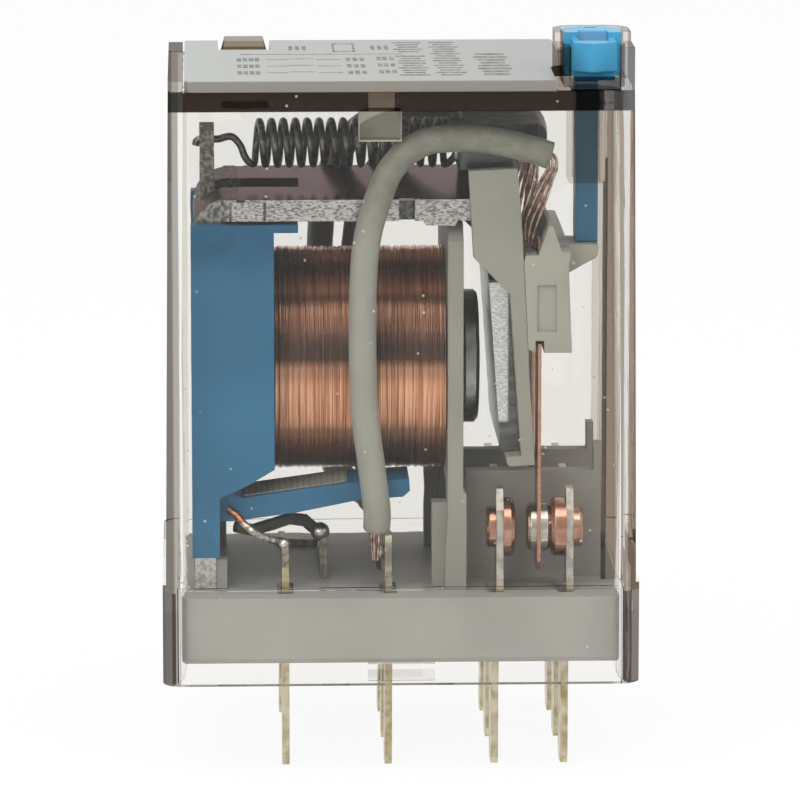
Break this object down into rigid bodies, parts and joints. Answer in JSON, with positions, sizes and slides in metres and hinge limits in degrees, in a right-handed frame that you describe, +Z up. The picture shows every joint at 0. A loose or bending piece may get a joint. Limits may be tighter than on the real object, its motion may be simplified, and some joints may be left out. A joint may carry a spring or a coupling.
{
  "type": "power relay",
  "caption": "Plug-in power relay with changeover contacts, a clear cover with a blue test button, and flat plug blades",
  "frame": {"origin": "Middle of the cover in plan, in the plane of the blade tips", "axes": "+Z up out of the socket along the blades, +X from the coil end to the contact end, +Y to the rear; the test button is at the front right corner"},
  "size_m": [0.0276, 0.0208, 0.043],
  "materials": {
    "clear_plastic": "clear, polished, slightly smoky",
    "label_plastic": "satin with faint print",
    "grey_plastic": "moulded, warm grey",
    "yoke_steel": "plated, pinkish grey, glossy",
    "pole_steel": "dull dark plated",
    "armature_steel": "plated, mottled",
    "bracket_steel": "dark, dull",
    "spring_steel": "drawn wire",
    "blue_plastic": "moulded, satin",
    "button_plastic": "moulded, glossy, light blue",
    "copper_winding": "enamelled copper wire",
    "lead_cover": "dark covered wire",
    "tape": "woven insulating tape",
    "gilt_brass": "plated, soft shine",
    "copper_rivet": "copper",
    "silver": "silver alloy, turned",
    "sleeve_rubber": "silicone, satin",
    "braid_copper": "braided tinned copper strands",
    "copper_leaf": "rolled copper alloy strip"
  },
  "bodies": {
    "relay_frame": {"cover": "clear_plastic", "label_plate": "label_plastic", "base": "grey_plastic", "yoke": "yoke_steel", "core": "pole_steel", "bobbin": "grey_plastic", "coil_clip": "blue_plastic", "winding": "copper_winding", "arm_tape": "tape", "coil_terminal_a": "gilt_brass", "coil_terminal_b": "gilt_brass", "coil_lead_a": "copper_winding", "coil_lead_b": "lead_cover", "com_terminal_1": "gilt_brass", "com_terminal_2": "gilt_brass", "com_terminal_3": "gilt_brass", "no_terminal_1": "gilt_brass", "no_terminal_2": "gilt_brass", "no_terminal_3": "gilt_brass", "nc_terminal_1": "gilt_brass", "nc_terminal_2": "gilt_brass", "nc_terminal_3": "gilt_brass", "no_contact_1": "copper_rivet", "no_contact_2": "copper_rivet", "no_contact_3": "copper_rivet", "nc_contact_1": "copper_rivet", "nc_contact_2": "copper_rivet", "nc_contact_3": "copper_rivet", "sleeve_1": "sleeve_rubber", "sleeve_2": "sleeve_rubber", "sleeve_3": "sleeve_rubber", "braid_1": "braid_copper", "braid_2": "braid_copper", "braid_3": "braid_copper", "return_spring": "spring_steel"},
    "armature": {"armature": "armature_steel", "spring_bracket": "bracket_steel", "carrier": "grey_plastic", "contact_block": "grey_plastic", "leaf_root_1": "copper_leaf", "leaf_root_2": "copper_leaf", "leaf_root_3": "copper_leaf"},
    "contact_springs": {"contact_leaf_1": "copper_leaf", "contact_leaf_2": "copper_leaf", "contact_leaf_3": "copper_leaf", "moving_contact_1": "silver", "moving_contact_2": "silver", "moving_contact_3": "silver"},
    "test_button": {"test_button": "button_plastic"}
  },
  "joints": [
    {"name": "armature_swing", "type": "hinge", "parent": "relay_frame", "child": "armature", "pos_m": [0.00505, 0, 0.03345], "axis": [0, 1, 0], "range_deg": [0, 4], "stiffness_Nm_per_rad": 0.02, "springref_deg": -5.73, "deforming": ["return_spring", "braid_1", "braid_2", "braid_3", "sleeve_1", "sleeve_2", "sleeve_3"]},
    {"name": "contact_flex", "type": "hinge", "parent": "armature", "child": "contact_springs", "pos_m": [0.00805, 0, 0.0246], "axis": [0, 1, 0], "range_deg": [-4, 0]},
    {"name": "button_press", "type": "slide", "parent": "relay_frame", "child": "test_button", "axis": [0, 0, -1], "range_m": [0, 0.0004]}
  ],
  "couplings": [
    {"joint": "contact_flex", "follows": "armature_swing", "ratio": -0.9525},
    {"joint": "button_press", "follows": "armature_swing", "m_per_rad": 0.0057}
  ]
}
